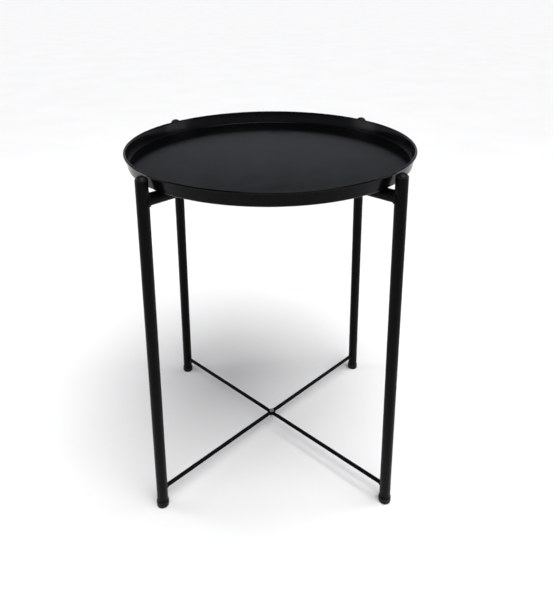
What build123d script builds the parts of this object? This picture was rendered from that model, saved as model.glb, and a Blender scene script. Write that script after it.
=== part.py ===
from build123d import *
from math import radians, sqrt, tan
import os

# Folding side table: a round pressed-steel tray that lifts off two crossed leg frames.
# Millimetres. The origin is on the floor, on the vertical axis about which the frames turn.
# +Z is up, -Y is the front, +X is the right.

# Driving dimensions
table_height = 550.0
tray_diameter = 435.0
leg_diameter = 17.0
tube_wall = 1.2
bar_height = 516.5  # centre line of the upper crossbars
leg_reach = 226.4  # from the turning axis to a leg's centre line, at bar height
leg_splay = 1.8  # the feet stand further out than the tops
main_frame_angle = 43.0  # direction of the main frame's rear leg, seen from above
turning_frame_angle = 137.0  # direction of the turning frame's rear leg

# Legs and their plastic ends, measured along the leg from bar height
leg_top = 28.0
leg_bottom = -513.5
foot_radius = 9.6
foot_top = -506.5
foot_bottom_round = 2.5
foot_top_round = 0.8
cap_radius = 8.6
cap_lip = 1.0
cap_dome = 5.5
plug_length = 12.0
plug_radius = 7.25
assembly_gap = 0.02  # between a tube and what is pushed on it or welded to it

# Upper crossbars: the same tube as the legs, flattened near its top where they cross
blade_width = 24.0
blade_thickness = 2.8
blade_half_length = 46.0
taper_end = 88.0
lumen_start = 52.0
lumen_slit = (19.0, 1.6)  # width and height of the bore where it closes
blade_gap = 0.3
blade_top = 524.2  # the upper pivot screw's head sits here

# Lower rods, pressed to half their height where they cross
rod_radius = 3.25
main_rod_height = 32.2
turning_rod_height = 30.6
crossing_height = 31.4
crossing_gap = 0.2
half_lap_length = 12.0
eye_radius = 6.5
eye_thickness = 2.5

# Weld beads
bar_weld = 1.4
rod_weld = 1.2

# Pivot screws, nuts and washer
running_clearance = 0.1
lower_screw_radius = 2.0
lower_screw_length = 22.0
lower_head = (4.0, 2.6)  # radius, height
lower_nut = (7.0, 3.2)  # across flats, height
upper_screw_radius = 3.0
upper_screw_length = 20.0
upper_head = (6.0, 4.6)  # the tray rests on it
upper_nut = (10.0, 5.0)
upper_washer = (6.0, 1.6)  # radius, thickness
seat_gap = 0.1

# Tray
tray_bottom = 528.9
sheet = 1.0
bead_radius = 1.7
wall_top_radius = 214.7
wall_bottom_radius = 212.3
corner_radius = 3.0

leg_radius = leg_diameter / 2
bore_radius = leg_radius - tube_wall


def upright(radius, low, high):
    """A solid cylinder on the Z axis between two heights."""
    return Pos(0, 0, (low + high) / 2) * Cylinder(radius, high - low)


def along_x(radius, low, high, z):
    """A solid cylinder along X between two distances, at height z."""
    return Pos((low + high) / 2, 0, z) * Rot(0, 90, 0) * Cylinder(radius, high - low)


def on_leg(piece):
    """Sets a piece that stands on the Z axis, with bar height at zero, onto the splayed leg."""
    return Pos(leg_reach, 0, bar_height) * Rot(0, -leg_splay, 0) * piece


def leg_centre(z):
    """Distance from the turning axis to the leg's centre line at height z."""
    return leg_reach + (bar_height - z) * tan(radians(leg_splay))


def leg_envelope(radius):
    """The whole leg as a solid of this radius, for fitting other pieces to it."""
    return on_leg(upright(radius, leg_bottom, leg_top))


def both_ends(piece):
    """The piece and its copy turned half a turn about the table's axis."""
    return [piece, Rot(0, 0, 180) * piece]


def place(piece, angle, name):
    """Turns a piece from the frame's own line to its direction, and names it."""
    placed = Rot(0, 0, angle) * piece
    placed.label = name
    return placed


def leg():
    return leg_envelope(leg_radius) - leg_envelope(bore_radius)


def top_cap():
    """A push-in plug with a domed head, a little wider than the tube."""
    lip_top = leg_top + cap_lip
    apex = lip_top + cap_dome
    sphere_radius = (cap_radius**2 + cap_dome**2) / (2 * cap_dome)
    ball = Pos(0, 0, apex - sphere_radius) * Sphere(sphere_radius)
    dome = ball & upright(cap_radius + 1, lip_top, apex + 1)
    lip = upright(cap_radius, leg_top, lip_top)
    return on_leg(dome + lip + upright(plug_radius, leg_top - plug_length, leg_top))


def foot():
    """A plastic cup over the tube's lower end, flat on the floor, with a plug in the tube."""
    below_floor = Pos(leg_centre(0), 0, -25) * Box(50, 50, 50)
    cup = on_leg(upright(foot_radius, leg_bottom - 10, foot_top)) - below_floor
    cup = fillet(cup.edges().sort_by(Axis.Z)[0], foot_bottom_round)
    cup = fillet(cup.edges().sort_by(Axis.Z)[-1], foot_top_round)
    seat = on_leg(upright(leg_radius + assembly_gap, leg_bottom, foot_top + 1))
    return cup - seat + on_leg(upright(plug_radius, leg_bottom, leg_bottom + plug_length))


def round_section(radius, x, z):
    """A circle across the frame's line, in four arcs that pair with a blade's four edges."""
    k = radius * sqrt(0.5)
    arcs = Curve() + [
        ThreePointArc((k, k), (0, radius), (-k, k)),
        ThreePointArc((-k, k), (-radius, 0), (-k, -k)),
        ThreePointArc((-k, -k), (0, -radius), (k, -k)),
        ThreePointArc((k, -k), (radius, 0), (k, k)),
    ]
    return Plane((x, 0, z), (0, 1, 0), (1, 0, 0)) * make_face(arcs)


def flat_section(width, thickness, x, z):
    """A flattened tube's outline across the frame's line: two flats and two round edges."""
    flat = (width - thickness) / 2
    half = thickness / 2
    edges = Curve() + [
        Line((flat, half), (-flat, half)),
        ThreePointArc((-flat, half), (-width / 2, 0), (-flat, -half)),
        Line((-flat, -half), (flat, -half)),
        ThreePointArc((flat, -half), (width / 2, 0), (flat, half)),
    ]
    return Plane((x, 0, z), (0, 1, 0), (1, 0, 0)) * make_face(edges)


def blade_height(side):
    """Middle height of a bar's flat: the upper one, or the one that it crosses below."""
    top_blade = blade_top - blade_thickness / 2
    return top_blade if side > 0 else top_blade - blade_thickness - blade_gap


def upper_crossbar(side):
    """Side is +1 for the bar whose flat lies on top at the crossing, -1 for the one below."""
    blade_z = blade_height(side)
    outer = loft(
        [
            flat_section(blade_width, blade_thickness, blade_half_length, blade_z),
            round_section(leg_radius, taper_end, bar_height),
        ]
    )
    share = (taper_end - lumen_start) / (taper_end - blade_half_length)
    slit_z = bar_height + (blade_z - bar_height) * share
    inner = loft(
        [
            flat_section(*lumen_slit, lumen_start, slit_z),
            round_section(bore_radius, taper_end, bar_height),
        ]
    )
    tube = along_x(leg_radius, taper_end, leg_reach, bar_height)
    lumen = along_x(bore_radius, taper_end, leg_reach, bar_height)
    half_bar = (outer - inner) + (tube - lumen) - leg_envelope(leg_radius + assembly_gap)
    blade = extrude(
        flat_section(blade_width, blade_thickness, -blade_half_length, blade_z),
        2 * blade_half_length,
    )
    bar = blade + both_ends(half_bar)
    return bar - upright(upper_screw_radius + running_clearance, 0, table_height)


def lower_rod(side):
    """Side is +1 for the rod whose eye lies on top at the crossing, -1 for the one below."""
    z = main_rod_height if side > 0 else turning_rod_height
    rod = along_x(rod_radius, -leg_centre(z), leg_centre(z), z)
    lap_face = crossing_height + side * crossing_gap / 2
    away = Pos(0, 0, lap_face - side * rod_radius * 2)
    rod -= away * Box(2 * half_lap_length, rod_radius * 4, rod_radius * 4)
    seat_face = lap_face + side * eye_thickness
    beyond = Pos(0, 0, seat_face + side * rod_radius * 2)
    rod -= beyond * Cylinder(eye_radius, rod_radius * 4)
    rod += upright(eye_radius, min(lap_face, seat_face), max(lap_face, seat_face))
    rod -= upright(lower_screw_radius + running_clearance, 0, table_height)
    return rod - both_ends(leg_envelope(leg_radius + assembly_gap))


def weld(radius, z, size):
    """The bead round a bar's or rod's end, within its size of both pieces."""
    near_bar = along_x(radius + size, leg_centre(z) - 20, leg_centre(z), z)
    bar_envelope = along_x(radius + assembly_gap, 0, leg_centre(z), z)
    bead = leg_envelope(leg_radius + size) & near_bar
    return bead - bar_envelope - leg_envelope(leg_radius + assembly_gap)


def frame_welds(rod_z):
    beads = [weld(leg_radius, bar_height, bar_weld), weld(rod_radius, rod_z, rod_weld)]
    solids = [solid for bead in beads for solid in bead.solids()]
    return Compound(solids + [Rot(0, 0, 180) * solid for solid in solids])


def pan_screw(radius, length, head, seat_z):
    """A pan-head screw with a cross recess; the thread is a plain cylinder."""
    head_radius, head_height = head
    top = seat_z + head_height
    head_solid = upright(head_radius, seat_z, top)
    head_solid = fillet(head_solid.edges().sort_by(Axis.Z)[-1], head_height * 0.45)
    screw = head_solid + upright(radius, seat_z - length, seat_z)
    for angle in (0, 90):
        slot = Box(head_radius * 1.1, head_radius * 0.24, head_height * 1.2)
        screw -= Pos(0, 0, top) * Rot(0, 0, angle) * slot
    return screw


def hex_nut(bolt_radius, size, top_z):
    across_flats, height = size
    outline = RegularPolygon(across_flats / 2, 6, major_radius=False)
    nut = extrude(Pos(0, 0, top_z - height) * outline, height)
    return nut - upright(bolt_radius + assembly_gap, 0, table_height)


def tray():
    """One pressed sheet: flat floor, slightly tapered wall and rolled bead."""
    bead_x = tray_diameter / 2 - bead_radius
    bead_z = table_height - bead_radius
    wall_foot = tray_bottom + corner_radius
    wall_top = (wall_top_radius, bead_z)
    turn = sqrt(0.5)
    corner = wall_bottom_radius - corner_radius
    inner_corner = corner_radius - sheet
    floor_top = tray_bottom + sheet
    profile = Curve() + [
        Line((0, tray_bottom), (corner, tray_bottom)),
        ThreePointArc(
            (corner, tray_bottom),
            (corner + corner_radius * turn, wall_foot - corner_radius * turn),
            (wall_bottom_radius, wall_foot),
        ),
        Line((wall_bottom_radius, wall_foot), wall_top),
        Line(wall_top, (wall_top_radius - sheet, bead_z)),
        Line((wall_top_radius - sheet, bead_z), (wall_bottom_radius - sheet, wall_foot)),
        ThreePointArc(
            (wall_bottom_radius - sheet, wall_foot),
            (corner + inner_corner * turn, wall_foot - inner_corner * turn),
            (corner, floor_top),
        ),
        Line((corner, floor_top), (0, floor_top)),
        Line((0, floor_top), (0, tray_bottom)),
    ]
    pan = revolve(Plane.XZ * make_face(profile), Axis.Z)
    bead = revolve(Plane.XZ * (Pos(bead_x, bead_z) * Circle(bead_radius)), Axis.Z)
    return pan + bead


def frame_parts(angle, side, rear, front, frame):
    """Every piece of one leg frame, by node name."""
    rod_z = main_rod_height if side > 0 else turning_rod_height
    pieces = {
        f"upper_crossbar_{frame}": upper_crossbar(side),
        f"lower_rod_{frame}": lower_rod(side),
        f"weld_beads_{frame}": frame_welds(rod_z),
    }
    for position, end in ((rear, 0), (front, 180)):
        pieces[f"leg_{position}"] = Rot(0, 0, end) * leg()
        pieces[f"top_cap_{position}"] = Rot(0, 0, end) * top_cap()
        pieces[f"foot_{position}"] = Rot(0, 0, end) * foot()
    return {name: place(piece, angle, name) for name, piece in pieces.items()}


def pivot_parts():
    washer_top = blade_height(-1) - blade_thickness / 2 - seat_gap
    nut_top = washer_top - upper_washer[1]
    lower_seat = crossing_height + crossing_gap / 2 + eye_thickness
    lower_nut_top = crossing_height - crossing_gap / 2 - eye_thickness - seat_gap
    washer = upright(upper_washer[0], nut_top, washer_top)
    washer -= upright(upper_screw_radius + running_clearance, 0, table_height)
    pieces = {
        "upper_pivot_screw": pan_screw(
            upper_screw_radius, upper_screw_length, upper_head, blade_top
        ),
        "upper_pivot_washer": washer,
        "upper_pivot_nut": hex_nut(upper_screw_radius, upper_nut, nut_top),
        "lower_pivot_screw": pan_screw(
            lower_screw_radius, lower_screw_length, lower_head, lower_seat
        ),
        "lower_pivot_nut": hex_nut(lower_screw_radius, lower_nut, lower_nut_top),
    }
    return {name: place(piece, main_frame_angle, name) for name, piece in pieces.items()}


parts = {
    **frame_parts(main_frame_angle, 1, "rear_right", "front_left", "main"),
    **frame_parts(turning_frame_angle, -1, "rear_left", "front_right", "turning"),
    **pivot_parts(),
    "tray": place(tray(), 0, "tray"),
}
os.makedirs("parts", exist_ok=True)
for name, piece in parts.items():
    export_step(piece, f"parts/{name}.step")
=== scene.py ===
import bpy
import bmesh
import math
import numpy as np
from mathutils import Matrix, Vector


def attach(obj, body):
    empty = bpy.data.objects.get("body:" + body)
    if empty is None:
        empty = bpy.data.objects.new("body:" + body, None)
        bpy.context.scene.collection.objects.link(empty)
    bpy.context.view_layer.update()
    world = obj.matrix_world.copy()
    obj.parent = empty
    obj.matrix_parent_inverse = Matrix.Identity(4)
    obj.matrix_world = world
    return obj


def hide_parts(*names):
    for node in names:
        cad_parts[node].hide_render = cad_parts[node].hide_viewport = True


# Folding side table. Shapes are given in millimetres and turned into metres when a mesh is made.
# The axis about which the two leg frames turn is Z, and the floor is z = 0.

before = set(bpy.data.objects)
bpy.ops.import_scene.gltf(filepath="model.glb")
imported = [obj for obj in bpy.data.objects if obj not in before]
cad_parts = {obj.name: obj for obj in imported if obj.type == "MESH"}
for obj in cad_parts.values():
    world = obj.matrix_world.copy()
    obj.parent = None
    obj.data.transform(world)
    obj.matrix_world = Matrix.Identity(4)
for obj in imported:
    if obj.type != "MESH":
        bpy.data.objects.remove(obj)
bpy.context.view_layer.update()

MM = 0.001
FRAMES = {
    "main": {"angle": 43.0, "side": 1, "rear": "rear_right", "front": "front_left"},
    "turning": {"angle": 137.0, "side": -1, "rear": "rear_left", "front": "front_right"},
}

# Legs: a splayed tube. Along-leg heights count from the upper crossbars' centre line.
BAR_HEIGHT = 516.5
LEG_REACH = 226.4
SPLAY = math.radians(1.8)
LEG_RADIUS = 8.5
LEG_BORE = 7.3
LEG_TOP = 28.0
LEG_BOTTOM = -513.5
FLOOR_ALONG_LEG = -BAR_HEIGHT / math.cos(SPLAY)

# Upper crossbars: the leg tube, flattened near its top in the middle
BLADE_WIDTH = 24.0
BLADE_THICKNESS = 2.8
BLADE_END = 46.0
TAPER_END = 88.0
BLADE_HEIGHT = {1: 522.8, -1: 519.7}
UPPER_HOLE = 3.1

# Lower rods
ROD_RADIUS = 3.25
ROD_HEIGHT = {1: 32.2, -1: 30.6}
CROSSING_HEIGHT = 31.4
CROSSING_GAP = 0.2
LAP_END = 12.0
EYE_RADIUS = 6.5
EYE_THICKNESS = 2.5
LOWER_HOLE = 2.1

# Plastic cap on each leg's top, along the leg
CAP_RADIUS = 8.6
CAP_DOME_RADIUS = 8.35
CAP_DOME_HEIGHT = 5.37
CAP_APEX = 34.47
PLUG_RADIUS = 7.25
PLUG_ROOT = 6.7

# Foot, from the floor up
FOOT_RADIUS = 9.6
FOOT_HEIGHT = 10.25
TUBE_END_IN_FOOT = 3.3

# Pivots: seat of the screw's head, tip of the screw, height of the lower face of each nut
UPPER_SCREW = {"radius": 3.0, "pitch": 1.0, "seat": 524.2, "tip": 504.25, "head": (6.0, 4.55)}
LOWER_SCREW = {"radius": 2.0, "pitch": 0.7, "seat": 34.0, "tip": 12.05, "head": (4.0, 2.55)}
UPPER_NUT = {"flats": 10.0, "low": 511.6, "high": 516.6, "bore": 3.0}
LOWER_NUT = {"flats": 7.0, "low": 25.5, "high": 28.7, "bore": 2.0}
WASHER_RADIUS = 6.0
WASHER_TOP = 518.2

# Tray
TRAY_RIM = 550.0
TRAY_RADIUS = 217.46
TRAY_UNDERSIDE = 528.9
TRAY_FLOOR = 529.9
BEAD_RADIUS = 1.7

SHARP_ANGLE = 32
MERGE_DISTANCE = 0.004 * MM


def arc(centre, radius, start, end, count):
    """Points (r, z) of an arc between two angles in degrees."""
    angles = np.radians(np.linspace(start, end, count))
    return [(centre[0] + radius * math.cos(a), centre[1] + radius * math.sin(a)) for a in angles]


def rounded(points, radii, count=6):
    """A run of (r, z) points with its inner corners rounded to the given radii."""
    made = [points[0]]
    for i, radius in enumerate(radii, 1):
        here, before, after = (np.array(points[k], float) for k in (i, i - 1, i + 1))
        to_before, to_after = before - here, after - here
        to_before /= np.linalg.norm(to_before)
        to_after /= np.linalg.norm(to_after)
        half = math.acos(np.clip(to_before @ to_after, -1, 1)) / 2
        reach = radius / math.tan(half)
        start, end = here + to_before * reach, here + to_after * reach
        for t in np.linspace(0, 1, count):
            made.append(tuple((1 - t) ** 2 * start + 2 * t * (1 - t) * here + t * t * end))
    return made + [points[-1]]


def turned(profile, columns):
    """The surface of revolution of (r, z) points about Z, as rows of rings."""
    angles = np.linspace(0, 2 * math.pi, columns, endpoint=False)
    r, z = np.array(profile, float).T
    return np.stack(
        [np.outer(r, np.cos(angles)), np.outer(r, np.sin(angles)), np.outer(z, np.ones(columns))], -1
    )


def tube_along(centres, radii, columns):
    """A closed tube round a closed line of points, with one radius for each point."""
    ahead = np.roll(centres, -1, 0) - np.roll(centres, 1, 0)
    ahead /= np.linalg.norm(ahead, axis=1)[:, None]
    outward = centres - centres.mean(0)
    outward -= (outward * ahead).sum(1)[:, None] * ahead
    outward /= np.linalg.norm(outward, axis=1)[:, None]
    across = np.cross(ahead, outward)
    a = np.linspace(0, 2 * math.pi, columns, endpoint=False)
    ring = np.cos(a)[None, :, None] * outward[:, None] + np.sin(a)[None, :, None] * across[:, None]
    return centres[:, None] + ring * radii[:, None, None]


def leg_centre(z):
    """Distance from the turning axis to the leg's centre line at height z."""
    return LEG_REACH + (BAR_HEIGHT - z) * math.tan(SPLAY)


def on_leg(angle):
    """Carries a shape on the Z axis, with bar height at zero, onto the leg in this direction."""
    spin = Matrix.Rotation(math.radians(angle), 4, "Z")
    stand = Matrix.Translation((LEG_REACH, 0, BAR_HEIGHT)) @ Matrix.Rotation(-SPLAY, 4, "Y")
    return spin @ stand


def add_shell(bm, rows, close_rows, ends):
    """Adds a grid of points, closed round its columns, to a mesh."""
    verts = [[bm.verts.new(p) for p in row] for row in rows]
    pairs = list(zip(verts, verts[1:]))
    if close_rows:
        pairs.append((verts[-1], verts[0]))
    for low, high in pairs:
        for j in range(len(low)):
            k = (j + 1) % len(low)
            bm.faces.new((low[j], low[k], high[k], high[j]))
    if ends:
        bm.faces.new(list(reversed(verts[0])))
        bm.faces.new(verts[-1])


def build(name, shells, body, nodes, material, place=Matrix.Identity(4), sharp=SHARP_ANGLE):
    """Makes one piece from grids (points, close_rows, ends), and rides it on its CAD body."""
    bm = bmesh.new()
    for rows, close_rows, ends in shells:
        add_shell(bm, rows, close_rows, ends)
    bm.transform(Matrix.Scale(MM, 4) @ place)
    bmesh.ops.remove_doubles(bm, verts=bm.verts, dist=MERGE_DISTANCE)
    bmesh.ops.dissolve_degenerate(bm, edges=bm.edges, dist=0.002 * MM)
    bmesh.ops.recalc_face_normals(bm, faces=bm.faces)
    mesh = bpy.data.meshes.new(name)
    bm.to_mesh(mesh)
    bm.free()
    mesh.shade_smooth()
    mesh.set_sharp_from_angle(angle=math.radians(sharp))
    mesh.materials.append(material)
    made = bpy.data.objects.new(name, mesh)
    bpy.context.scene.collection.objects.link(made)
    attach(made, body)
    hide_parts(*nodes)
    return made


def cut_hole(target, radius, low, high):
    """Drills a hole on the Z axis through a piece."""
    drill = [(0, low), (radius, low), (radius, high), (0, high)]
    bm = bmesh.new()
    add_shell(bm, turned(drill, 64), False, False)
    bm.transform(Matrix.Scale(MM, 4))
    bmesh.ops.remove_doubles(bm, verts=bm.verts, dist=MERGE_DISTANCE)
    bmesh.ops.recalc_face_normals(bm, faces=bm.faces)
    mesh = bpy.data.meshes.new("drill")
    bm.to_mesh(mesh)
    bm.free()
    tool = bpy.data.objects.new("drill", mesh)
    bpy.context.scene.collection.objects.link(tool)
    cut = target.modifiers.new("hole", "BOOLEAN")
    cut.object = tool
    cut.operation = "DIFFERENCE"
    cut.solver = "EXACT"
    graph = bpy.context.evaluated_depsgraph_get()
    drilled = bpy.data.meshes.new_from_object(target.evaluated_get(graph))
    target.modifiers.clear()
    target.data = drilled
    drilled.set_sharp_from_angle(angle=math.radians(SHARP_ANGLE))
    bpy.data.objects.remove(tool)


# ---------------------------------------------------------------- materials


class Nodes:
    """A small helper for one material's node tree."""

    def __init__(self, name):
        self.material = bpy.data.materials.new(name)
        self.material.use_nodes = True
        self.tree = self.material.node_tree
        self.shader = self.tree.nodes["Principled BSDF"]
        self.coords = self.tree.nodes.new("ShaderNodeTexCoord").outputs["Object"]

    def noise(self, scale, detail=2.0, roughness=0.5, stretch=None):
        node = self.tree.nodes.new("ShaderNodeTexNoise")
        node.inputs["Scale"].default_value = scale
        node.inputs["Detail"].default_value = detail
        node.inputs["Roughness"].default_value = roughness
        source = self.coords
        if stretch:
            mapping = self.tree.nodes.new("ShaderNodeMapping")
            mapping.inputs["Scale"].default_value = stretch
            self.tree.links.new(source, mapping.inputs["Vector"])
            source = mapping.outputs["Vector"]
        self.tree.links.new(source, node.inputs["Vector"])
        return node.outputs["Fac"]

    def ranged(self, value, low, high, start=0.35, end=0.65):
        node = self.tree.nodes.new("ShaderNodeMapRange")
        node.inputs["From Min"].default_value = start
        node.inputs["From Max"].default_value = end
        node.inputs["To Min"].default_value = low
        node.inputs["To Max"].default_value = high
        self.tree.links.new(value, node.inputs["Value"])
        return node.outputs["Result"]

    def colour(self, value, dark, light):
        ramp = self.tree.nodes.new("ShaderNodeValToRGB")
        ramp.color_ramp.elements[0].position = 0.35
        ramp.color_ramp.elements[1].position = 0.65
        ramp.color_ramp.elements[0].color = (*dark, 1)
        ramp.color_ramp.elements[1].color = (*light, 1)
        self.tree.links.new(value, ramp.inputs["Fac"])
        self.tree.links.new(ramp.outputs["Color"], self.shader.inputs["Base Color"])

    def bumps(self, *layers):
        """Layers of (height field, height in metres), one bump node over the other."""
        normal = None
        for value, height in layers:
            bump = self.tree.nodes.new("ShaderNodeBump")
            bump.inputs["Strength"].default_value = 1.0
            bump.inputs["Distance"].default_value = height
            self.tree.links.new(value, bump.inputs["Height"])
            if normal:
                self.tree.links.new(normal, bump.inputs["Normal"])
            normal = bump.outputs["Normal"]
        self.tree.links.new(normal, self.shader.inputs["Normal"])

    def finish(self, value, socket):
        self.tree.links.new(value, self.shader.inputs[socket])


def powder_coat(name, peel_height):
    """Black powder coat: fine orange peel, a little uneven in gloss."""
    n = Nodes(name)
    n.colour(n.noise(900, 3), (0.0012, 0.0012, 0.0013), (0.0026, 0.0026, 0.0028))
    n.finish(n.ranged(n.noise(45, 3), 0.34, 0.42), "Roughness")
    n.bumps((n.noise(1100, 1.5), peel_height))
    n.shader.inputs["Specular IOR Level"].default_value = 0.055
    return n.material


def tray_enamel():
    """Semi-gloss enamel on pressed sheet: slight waviness under a fine, flowing orange peel."""
    n = Nodes("tray_enamel_black")
    n.colour(n.noise(700, 3), (0.0012, 0.0013, 0.0015), (0.0024, 0.0026, 0.003))
    n.finish(n.ranged(n.noise(30, 4, 0.6), 0.15, 0.2), "Roughness")
    n.bumps((n.noise(9, 1), 0.0001), (n.noise(800, 1.5), 0.000003))
    n.shader.inputs["Specular IOR Level"].default_value = 0.075
    return n.material


def moulded_plastic():
    """Satin black plastic with a fine eroded grain."""
    n = Nodes("moulded_plastic_black")
    n.colour(n.noise(1500, 2), (0.0016, 0.0016, 0.0016), (0.0032, 0.0032, 0.0032))
    n.finish(n.ranged(n.noise(160, 3), 0.36, 0.5), "Roughness")
    n.bumps((n.noise(3200, 2), 0.00001))
    n.shader.inputs["Specular IOR Level"].default_value = 0.14
    return n.material


def zinc_plate():
    """Bright zinc plating, faintly blue and yellow, with turning marks on screws and nuts."""
    n = Nodes("zinc_plate")
    n.colour(n.noise(260, 3), (0.42, 0.43, 0.45), (0.62, 0.61, 0.57))
    n.finish(n.ranged(n.noise(500, 4), 0.24, 0.42), "Roughness")
    n.bumps((n.noise(900, 3, 0.6, (1, 1, 6)), 0.00002))
    n.shader.inputs["Metallic"].default_value = 1.0
    return n.material


COAT = powder_coat("frame_coat_black", 0.00001)
WELD_COAT = powder_coat("weld_coat_black", 0.00004)
ENAMEL = tray_enamel()
PLASTIC = moulded_plastic()
ZINC = zinc_plate()


# ---------------------------------------------------------------- leg frames


def tube_profile():
    """The leg tube's wall, with its cut ends eased."""
    ease = 0.25
    outside = rounded(
        [(LEG_BORE, LEG_BOTTOM), (LEG_RADIUS, LEG_BOTTOM), (LEG_RADIUS, LEG_TOP), (LEG_BORE, LEG_TOP)],
        [ease, ease],
        4,
    )
    return outside + [(LEG_BORE, LEG_BOTTOM)]


def cap_profile():
    """Push-in plug with three barbs, a narrow lip and a domed head."""
    plug = [(0, 16.0), (PLUG_ROOT, 16.0)]
    for low in (17.0, 20.5, 24.0):
        plug += [(PLUG_ROOT, low), (PLUG_RADIUS, low + 1.6), (PLUG_ROOT, low + 1.8)]
    lip_points = [(PLUG_ROOT, 27.98), (CAP_RADIUS, 28.02), (CAP_RADIUS, 28.95), (CAP_DOME_RADIUS, 29.1)]
    lip = rounded(lip_points, [0.2, 0.16], 4)
    sphere = (CAP_DOME_RADIUS**2 + CAP_DOME_HEIGHT**2) / (2 * CAP_DOME_HEIGHT)
    start = math.degrees(math.asin(1 - CAP_DOME_HEIGHT / sphere))
    return plug + lip + arc((0, CAP_APEX - sphere), sphere, start, 90, 22)


def foot_rows():
    """A cup over the tube's end with a plug inside it. Its sole is level although the leg splays."""
    socket = LEG_RADIUS + 0.03
    outside = [(0, 0), (FOOT_RADIUS, 0), (FOOT_RADIUS - 0.1, FOOT_HEIGHT), (socket, FOOT_HEIGHT)]
    cup = rounded(outside, [2.4, 0.8], 8)
    inside = [(socket, TUBE_END_IN_FOOT), (PLUG_RADIUS, TUBE_END_IN_FOOT)]
    inside += [(PLUG_RADIUS, 15.0), (6.4, 15.5), (0, 15.5)]
    rows = turned(cup + inside, 64)
    level = np.clip((FOOT_HEIGHT - rows[..., 2]) / 7.0, 0, 1)
    lifted = rows[..., 2] / math.cos(SPLAY) - level * rows[..., 0] * math.tan(SPLAY)
    rows[..., 2] = FLOOR_ALONG_LEG + lifted
    return rows


def bar_section(width, thickness):
    """Outline (y, z) of a flattened tube: two round edges joined by flats."""
    half, flat = thickness / 2, (width - thickness) / 2
    right = [(flat + y, z) for y, z in arc((0, 0), half, -90, 90, 17)]
    left = [(-y, -z) for y, z in right]
    across = np.linspace(flat, -flat, 7)[1:-1]
    top = [(y, half) for y in across]
    return np.array(right + top + left + [(-y, -z) for y, z in top])


def crossbar_rows(side):
    """The crossbar from leg to leg: round, flattened through the taper, coped at both legs."""
    blade_z = BLADE_HEIGHT[side]
    half = [0, 20, 36, 44, *np.linspace(BLADE_END, TAPER_END, 28), 92, 120, 160, 200, None]
    rows = []
    for x in half:
        share = 1.0 if x is None else float(np.clip((x - BLADE_END) / (TAPER_END - BLADE_END), 0, 1))
        share = share * share * (3 - 2 * share)
        round_edge = 2 * LEG_RADIUS
        outline = bar_section(
            BLADE_WIDTH + (round_edge - BLADE_WIDTH) * share,
            BLADE_THICKNESS + (round_edge - BLADE_THICKNESS) * share,
        )
        z = outline[:, 1] + blade_z + (BAR_HEIGHT - blade_z) * share
        rows.append(coped(outline[:, 0], z, x))
    return np.array([mirrored(row) for row in rows[:0:-1]] + rows)


def coped(y, z, x):
    """One ring of a bar at distance x, or where it meets the leg's wall if x is None."""
    if x is None:
        x = np.array([leg_centre(h) for h in z]) - np.sqrt(np.maximum(LEG_RADIUS**2 - y**2, 0))
    return np.stack([x * np.ones(len(y)), y, z], 1)


def mirrored(ring):
    return ring * np.array([-1, 1, 1])


def rod_rows(side, end):
    """One half of a lower rod, from its eye to its leg, pressed to half height at the crossing."""
    centre = ROD_HEIGHT[side]
    lap = CROSSING_HEIGHT + side * CROSSING_GAP / 2
    seat = lap + side * EYE_THICKNESS
    angles = np.linspace(0, 2 * math.pi, 40, endpoint=False)
    y, z = ROD_RADIUS * np.cos(angles), centre + ROD_RADIUS * np.sin(angles)
    eye_overlap = EYE_RADIUS - 0.2
    distances = (eye_overlap, 6.6, 7.2, 8, 9, 10, 11.5, LAP_END, 12.3, 12.8, 13.4, 14, 60, 120, 180, None)
    rows = []
    for x in distances:
        far = 99.0 if x is None else x
        opened = float(np.clip((far - LAP_END) / 2.0, 0, 1)) ** 0.6
        raised = float(np.clip((far - EYE_RADIUS) / 4.5, 0, 1))
        raised = raised * raised * (3 - 2 * raised)
        lap_limit = lap + (centre - side * ROD_RADIUS - lap) * opened
        seat_limit = seat + (centre + side * ROD_RADIUS - seat) * raised
        height = np.clip(z, min(lap_limit, seat_limit), max(lap_limit, seat_limit))
        if x == eye_overlap:
            x = np.sqrt(x * x - y * y)
        rows.append(coped(y, height, x))
    return np.array(rows) * np.array([end, 1, 1])


def eye_profile(side):
    lap = CROSSING_HEIGHT + side * CROSSING_GAP / 2
    low, high = sorted((lap, lap + side * EYE_THICKNESS))
    points = [(LOWER_HOLE, low), (EYE_RADIUS, low), (EYE_RADIUS, high), (LOWER_HOLE, high)]
    return rounded(points, [0.5, 0.5], 6) + [(LOWER_HOLE, low)]


def weld_bead(bar_radius, z, bead, end, seed):
    """A laid bead round a bar's end: a tube on the joint line with overlapping ripples."""
    steps = int(2 * math.pi * bar_radius / 0.16)
    a = np.linspace(0, 2 * math.pi, steps, endpoint=False)
    ring = bar_radius + 0.2
    y, height = ring * np.sin(a), z + ring * np.cos(a)
    reach = np.sqrt((max(bar_radius, LEG_RADIUS) + 0.7) ** 2 - y**2)
    x = np.array([leg_centre(h) for h in height]) - reach
    ripple_count = round(2 * math.pi * bar_radius / 1.3)
    phase = (a * ripple_count / (2 * math.pi) + 0.15 * np.sin(3 * a + seed)) % 1.0
    radii = bead * (0.86 + 0.14 * np.sqrt(1 - (1 - phase) ** 2) + 0.05 * np.sin(5 * a + 2 * seed))
    centres = np.stack([x, y, height], 1) * np.array([end, 1, 1])
    return tube_along(centres, radii, 14)


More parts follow.
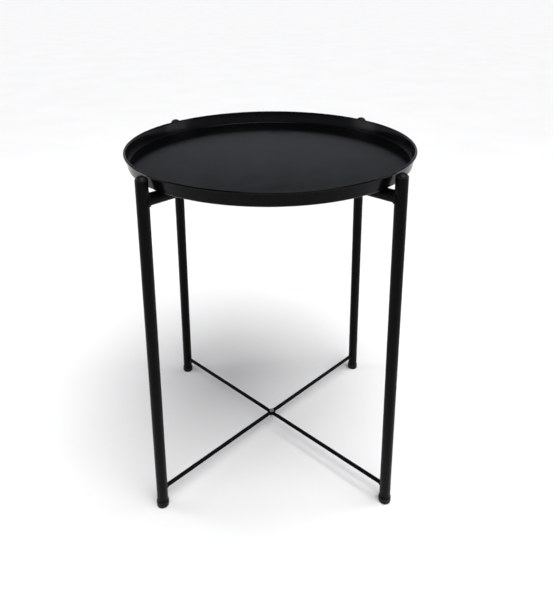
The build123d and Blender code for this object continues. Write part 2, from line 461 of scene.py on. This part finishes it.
def build_frame(name, angle, side, rear, front):
    body = f"{name}_frame"
    turn = Matrix.Rotation(math.radians(angle), 4, "Z")
    for position, extra in ((rear, 0), (front, 180)):
        stand = on_leg(angle + extra)
        build(f"tube_leg_{position}", [(turned(tube_profile(), 72), False, False)], body,
              [f"leg_{position}"], COAT, stand)
        build(f"domed_cap_{position}", [(turned(cap_profile(), 72), False, False)], body,
              [f"top_cap_{position}"], PLASTIC, stand)
        build(f"cup_foot_{position}", [(foot_rows(), False, False)], body,
              [f"foot_{position}"], PLASTIC, stand)
    bar = build(f"flattened_crossbar_{name}", [(crossbar_rows(side), False, True)], body,
                [f"upper_crossbar_{name}"], COAT, turn, 40)
    cut_hole(bar, UPPER_HOLE, BAR_HEIGHT - 20, BAR_HEIGHT + 20)
    rod_shells = [(rod_rows(side, end), False, True) for end in (1, -1)]
    rod_shells.append((turned(eye_profile(side), 72), False, False))
    build(f"lapped_rod_{name}", rod_shells, body,
          [f"lower_rod_{name}"], COAT, turn)
    joints = ((LEG_RADIUS, BAR_HEIGHT, 1.25, 2), (ROD_RADIUS, ROD_HEIGHT[side], 1.0, 5))
    beads = [
        (weld_bead(radius, z, bead, end, seed + end), True, False)
        for radius, z, bead, seed in joints
        for end in (1, -1)
    ]
    build(f"rippled_welds_{name}", beads, body,
          [f"weld_beads_{name}"], WELD_COAT, turn, 60)


# ---------------------------------------------------------------- pivot screws and nuts


def screw_head_rows(radius, height, seat):
    """A pan head with a cross recess pressed into its crown."""
    steps = np.concatenate([np.linspace(0, radius * 0.72, 40), [radius * 0.8, radius * 0.88, radius * 0.95]])
    crown = [(r, seat + height - 0.22 * height * (r / radius) ** 2) for r in steps]
    side = rounded([crown[-1], (radius, seat + height * 0.62), (radius, seat), (0, seat)], [0.5, 0.12], 5)
    rows = turned(crown + side[1:], 128)
    x, y, z = rows[..., 0], rows[..., 1], rows[..., 2]
    width, reach, depth = radius * 0.11, radius * 0.56, height * 0.62
    along = np.maximum(abs(x), abs(y))
    across = np.minimum(abs(x), abs(y))
    slot = 1 / (1 + np.exp((across - width) / 0.05))
    inside = slot / (1 + np.exp((along - reach) / 0.07))
    slope = np.clip(1.15 - along / (reach * 1.5), 0, 1)
    crown_only = z > seat + height * 0.7
    rows[..., 2] = z - crown_only * inside * depth * slope
    return rows


def thread_rows(radius, pitch, low, high):
    """A screw thread as a helical ridge, tapered at its free end."""
    columns = 48
    a = np.linspace(0, 2 * math.pi, columns, endpoint=False)
    rows = []
    for z in np.arange(low, high, pitch / 8):
        phase = (z / pitch - a / (2 * math.pi)) % 1.0
        ridge = radius - 0.55 * pitch * np.clip(abs(phase - 0.5) * 2.4 - 0.2, 0, 1)
        ridge *= min(1.0, 0.78 + 0.22 * (z - low) / pitch)
        rows.append(np.stack([ridge * np.cos(a), ridge * np.sin(a), z * np.ones(columns)], 1))
    return np.array(rows)


def nut_rows(flats, low, high, bore):
    """A hexagon nut with its corners chamfered by a cone at both faces."""
    columns = 144
    a = np.linspace(0, 2 * math.pi, columns, endpoint=False)
    hexagon = flats / 2 / np.cos((a + math.pi / 6) % (math.pi / 3) - math.pi / 6)
    rows = []
    for depth in (0, 0.15, 0.35, 0.6, 0.9):
        cone = flats / 2 * 0.97 + depth * 1.2
        rows.append((low + depth, np.minimum(hexagon, cone)))
    rows += [(low + high - z, r) for z, r in reversed(rows)]
    hole = bore * np.ones(columns)
    rows = [(low, hole)] + rows + [(high, hole), (low, hole)]
    return np.array([np.stack([r * np.cos(a), r * np.sin(a), z * np.ones(columns)], 1) for z, r in rows])


def build_pivots():
    turn = Matrix.Rotation(math.radians(FRAMES["main"]["angle"]), 4, "Z")
    for name, screw in (("upper", UPPER_SCREW), ("lower", LOWER_SCREW)):
        head_radius, head_height = screw["head"]
        head = screw_head_rows(head_radius, head_height, screw["seat"])
        thread = thread_rows(screw["radius"], screw["pitch"], screw["tip"], screw["seat"] + 0.2)
        shells = [(head, False, False), (thread, False, True)]
        build(f"{name}_pan_screw", shells, "main_frame", [f"{name}_pivot_screw"],
              ZINC, turn)
    washer_low = UPPER_NUT["high"]
    corners = [
        (UPPER_HOLE, washer_low), (WASHER_RADIUS, washer_low),
        (WASHER_RADIUS, WASHER_TOP), (UPPER_HOLE, WASHER_TOP),
    ]
    washer = rounded(corners, [0.2, 0.5], 4)
    build("upper_flat_washer", [(turned(washer + [washer[0]], 72), False, False)], "main_frame",
          ["upper_pivot_washer"], ZINC, turn)
    for name, nut in (("upper", UPPER_NUT), ("lower", LOWER_NUT)):
        build(f"{name}_hex_nut", [(nut_rows(**nut), False, False)], "main_frame",
              [f"{name}_pivot_nut"], ZINC, turn)


# ---------------------------------------------------------------- tray


def tray_profile():
    """Underside outwards, up the wall, over the rolled bead, and back along the floor."""
    bead_centre = (TRAY_RADIUS - BEAD_RADIUS, TRAY_RIM - BEAD_RADIUS)
    under = rounded([(0, TRAY_UNDERSIDE), (212.25, TRAY_UNDERSIDE), (214.6, 546.6)], [3.2], 10)
    curl = arc(bead_centre, BEAD_RADIUS, -130, 145, 32)
    inner = rounded([(213.6, 547.4), (211.3, TRAY_FLOOR), (0, TRAY_FLOOR)], [1.5], 10)
    return under + curl + inner


for frame_name, facts in FRAMES.items():
    build_frame(frame_name, **facts)
build_pivots()
build("pressed_tray", [(turned(tray_profile(), 288), False, False)], "tray", ["tray"],
      ENAMEL)


# ---------------------------------------------------------------- floor, light and camera


def studio_floor():
    bm = bmesh.new()
    bmesh.ops.create_circle(bm, cap_ends=True, segments=96, radius=40)
    mesh = bpy.data.meshes.new("studio_floor")
    bm.to_mesh(mesh)
    bm.free()
    n = Nodes("studio_floor_white")
    n.colour(n.noise(3, 2), (0.83, 0.83, 0.83), (0.85, 0.85, 0.85))
    n.shader.inputs["Roughness"].default_value = 0.9
    n.shader.inputs["Specular IOR Level"].default_value = 0.1
    mesh.materials.append(n.material)
    floor = bpy.data.objects.new("studio_floor", mesh)
    bpy.context.scene.collection.objects.link(floor)


def studio_world():
    """A plain room, white near the horizon and dark overhead, so that flat gloss fades forwards."""
    world = bpy.data.worlds.new("studio")
    bpy.context.scene.world = world
    world.use_nodes = True
    tree = world.node_tree
    direction = tree.nodes.new("ShaderNodeTexCoord").outputs["Generated"]
    height = tree.nodes.new("ShaderNodeSeparateXYZ")
    ramp = tree.nodes.new("ShaderNodeValToRGB")
    stops = ((0.0, 1.15), (0.19, 1.0), (0.32, 0.04), (1.0, 0.01))
    while len(ramp.color_ramp.elements) < len(stops):
        ramp.color_ramp.elements.new(0.5)
    for element, (position, level) in zip(ramp.color_ramp.elements, stops):
        element.position = position
        element.color = (level * 0.94, level * 0.98, level * 1.06, 1)
    tree.links.new(direction, height.inputs["Vector"])
    tree.links.new(height.outputs["Z"], ramp.inputs["Fac"])
    tree.links.new(ramp.outputs["Color"], tree.nodes["Background"].inputs["Color"])


def lamp(name, kind, energy, location, target, **settings):
    data = bpy.data.lights.new(name, kind)
    data.energy = energy
    for key, value in settings.items():
        setattr(data, key, value)
    made = bpy.data.objects.new(name, data)
    made.location = location
    made.rotation_euler = (Vector(target) - Vector(location)).to_track_quat("-Z", "Y").to_euler()
    bpy.context.scene.collection.objects.link(made)


def studio_camera():
    """Looks down on the table from the front."""
    heading, pitch, roll = (math.radians(v) for v in (0.621, 21.455, 0.486))
    level = math.cos(pitch)
    forward = Vector((math.sin(heading) * level, math.cos(heading) * level, -math.sin(pitch)))
    right = Vector((math.cos(heading), -math.sin(heading), 0))
    down = forward.cross(right)
    rolled_right = right * math.cos(roll) + down * math.sin(roll)
    rolled_down = down * math.cos(roll) - right * math.sin(roll)
    data = bpy.data.cameras.new("camera")
    data.lens = 33.16
    data.shift_x = 0.01401
    data.shift_y = -0.16667
    camera = bpy.data.objects.new("camera", data)
    axes = Matrix((rolled_right, -rolled_down, -forward)).transposed()
    camera.matrix_world = Matrix.Translation((-0.01237, -0.81353, 0.77508)) @ axes.to_4x4()
    bpy.context.scene.collection.objects.link(camera)
    bpy.context.scene.camera = camera


studio_floor()
studio_world()
lamp("overhead_sun", "SUN", 3.5, (0.6, -0.8, 3), (0, 0, 0), angle=math.radians(50))
lamp("left_softbox", "AREA", 10, (-1.7, 0.2, 0.9), (0, 0, 0.35), shape="RECTANGLE", size=0.7, size_y=1.6)
lamp("right_softbox", "AREA", 8, (1.7, 0.1, 0.9), (0, 0, 0.35), shape="RECTANGLE", size=0.7, size_y=1.6)
studio_camera()
bpy.context.scene.view_settings.view_transform = "Standard"
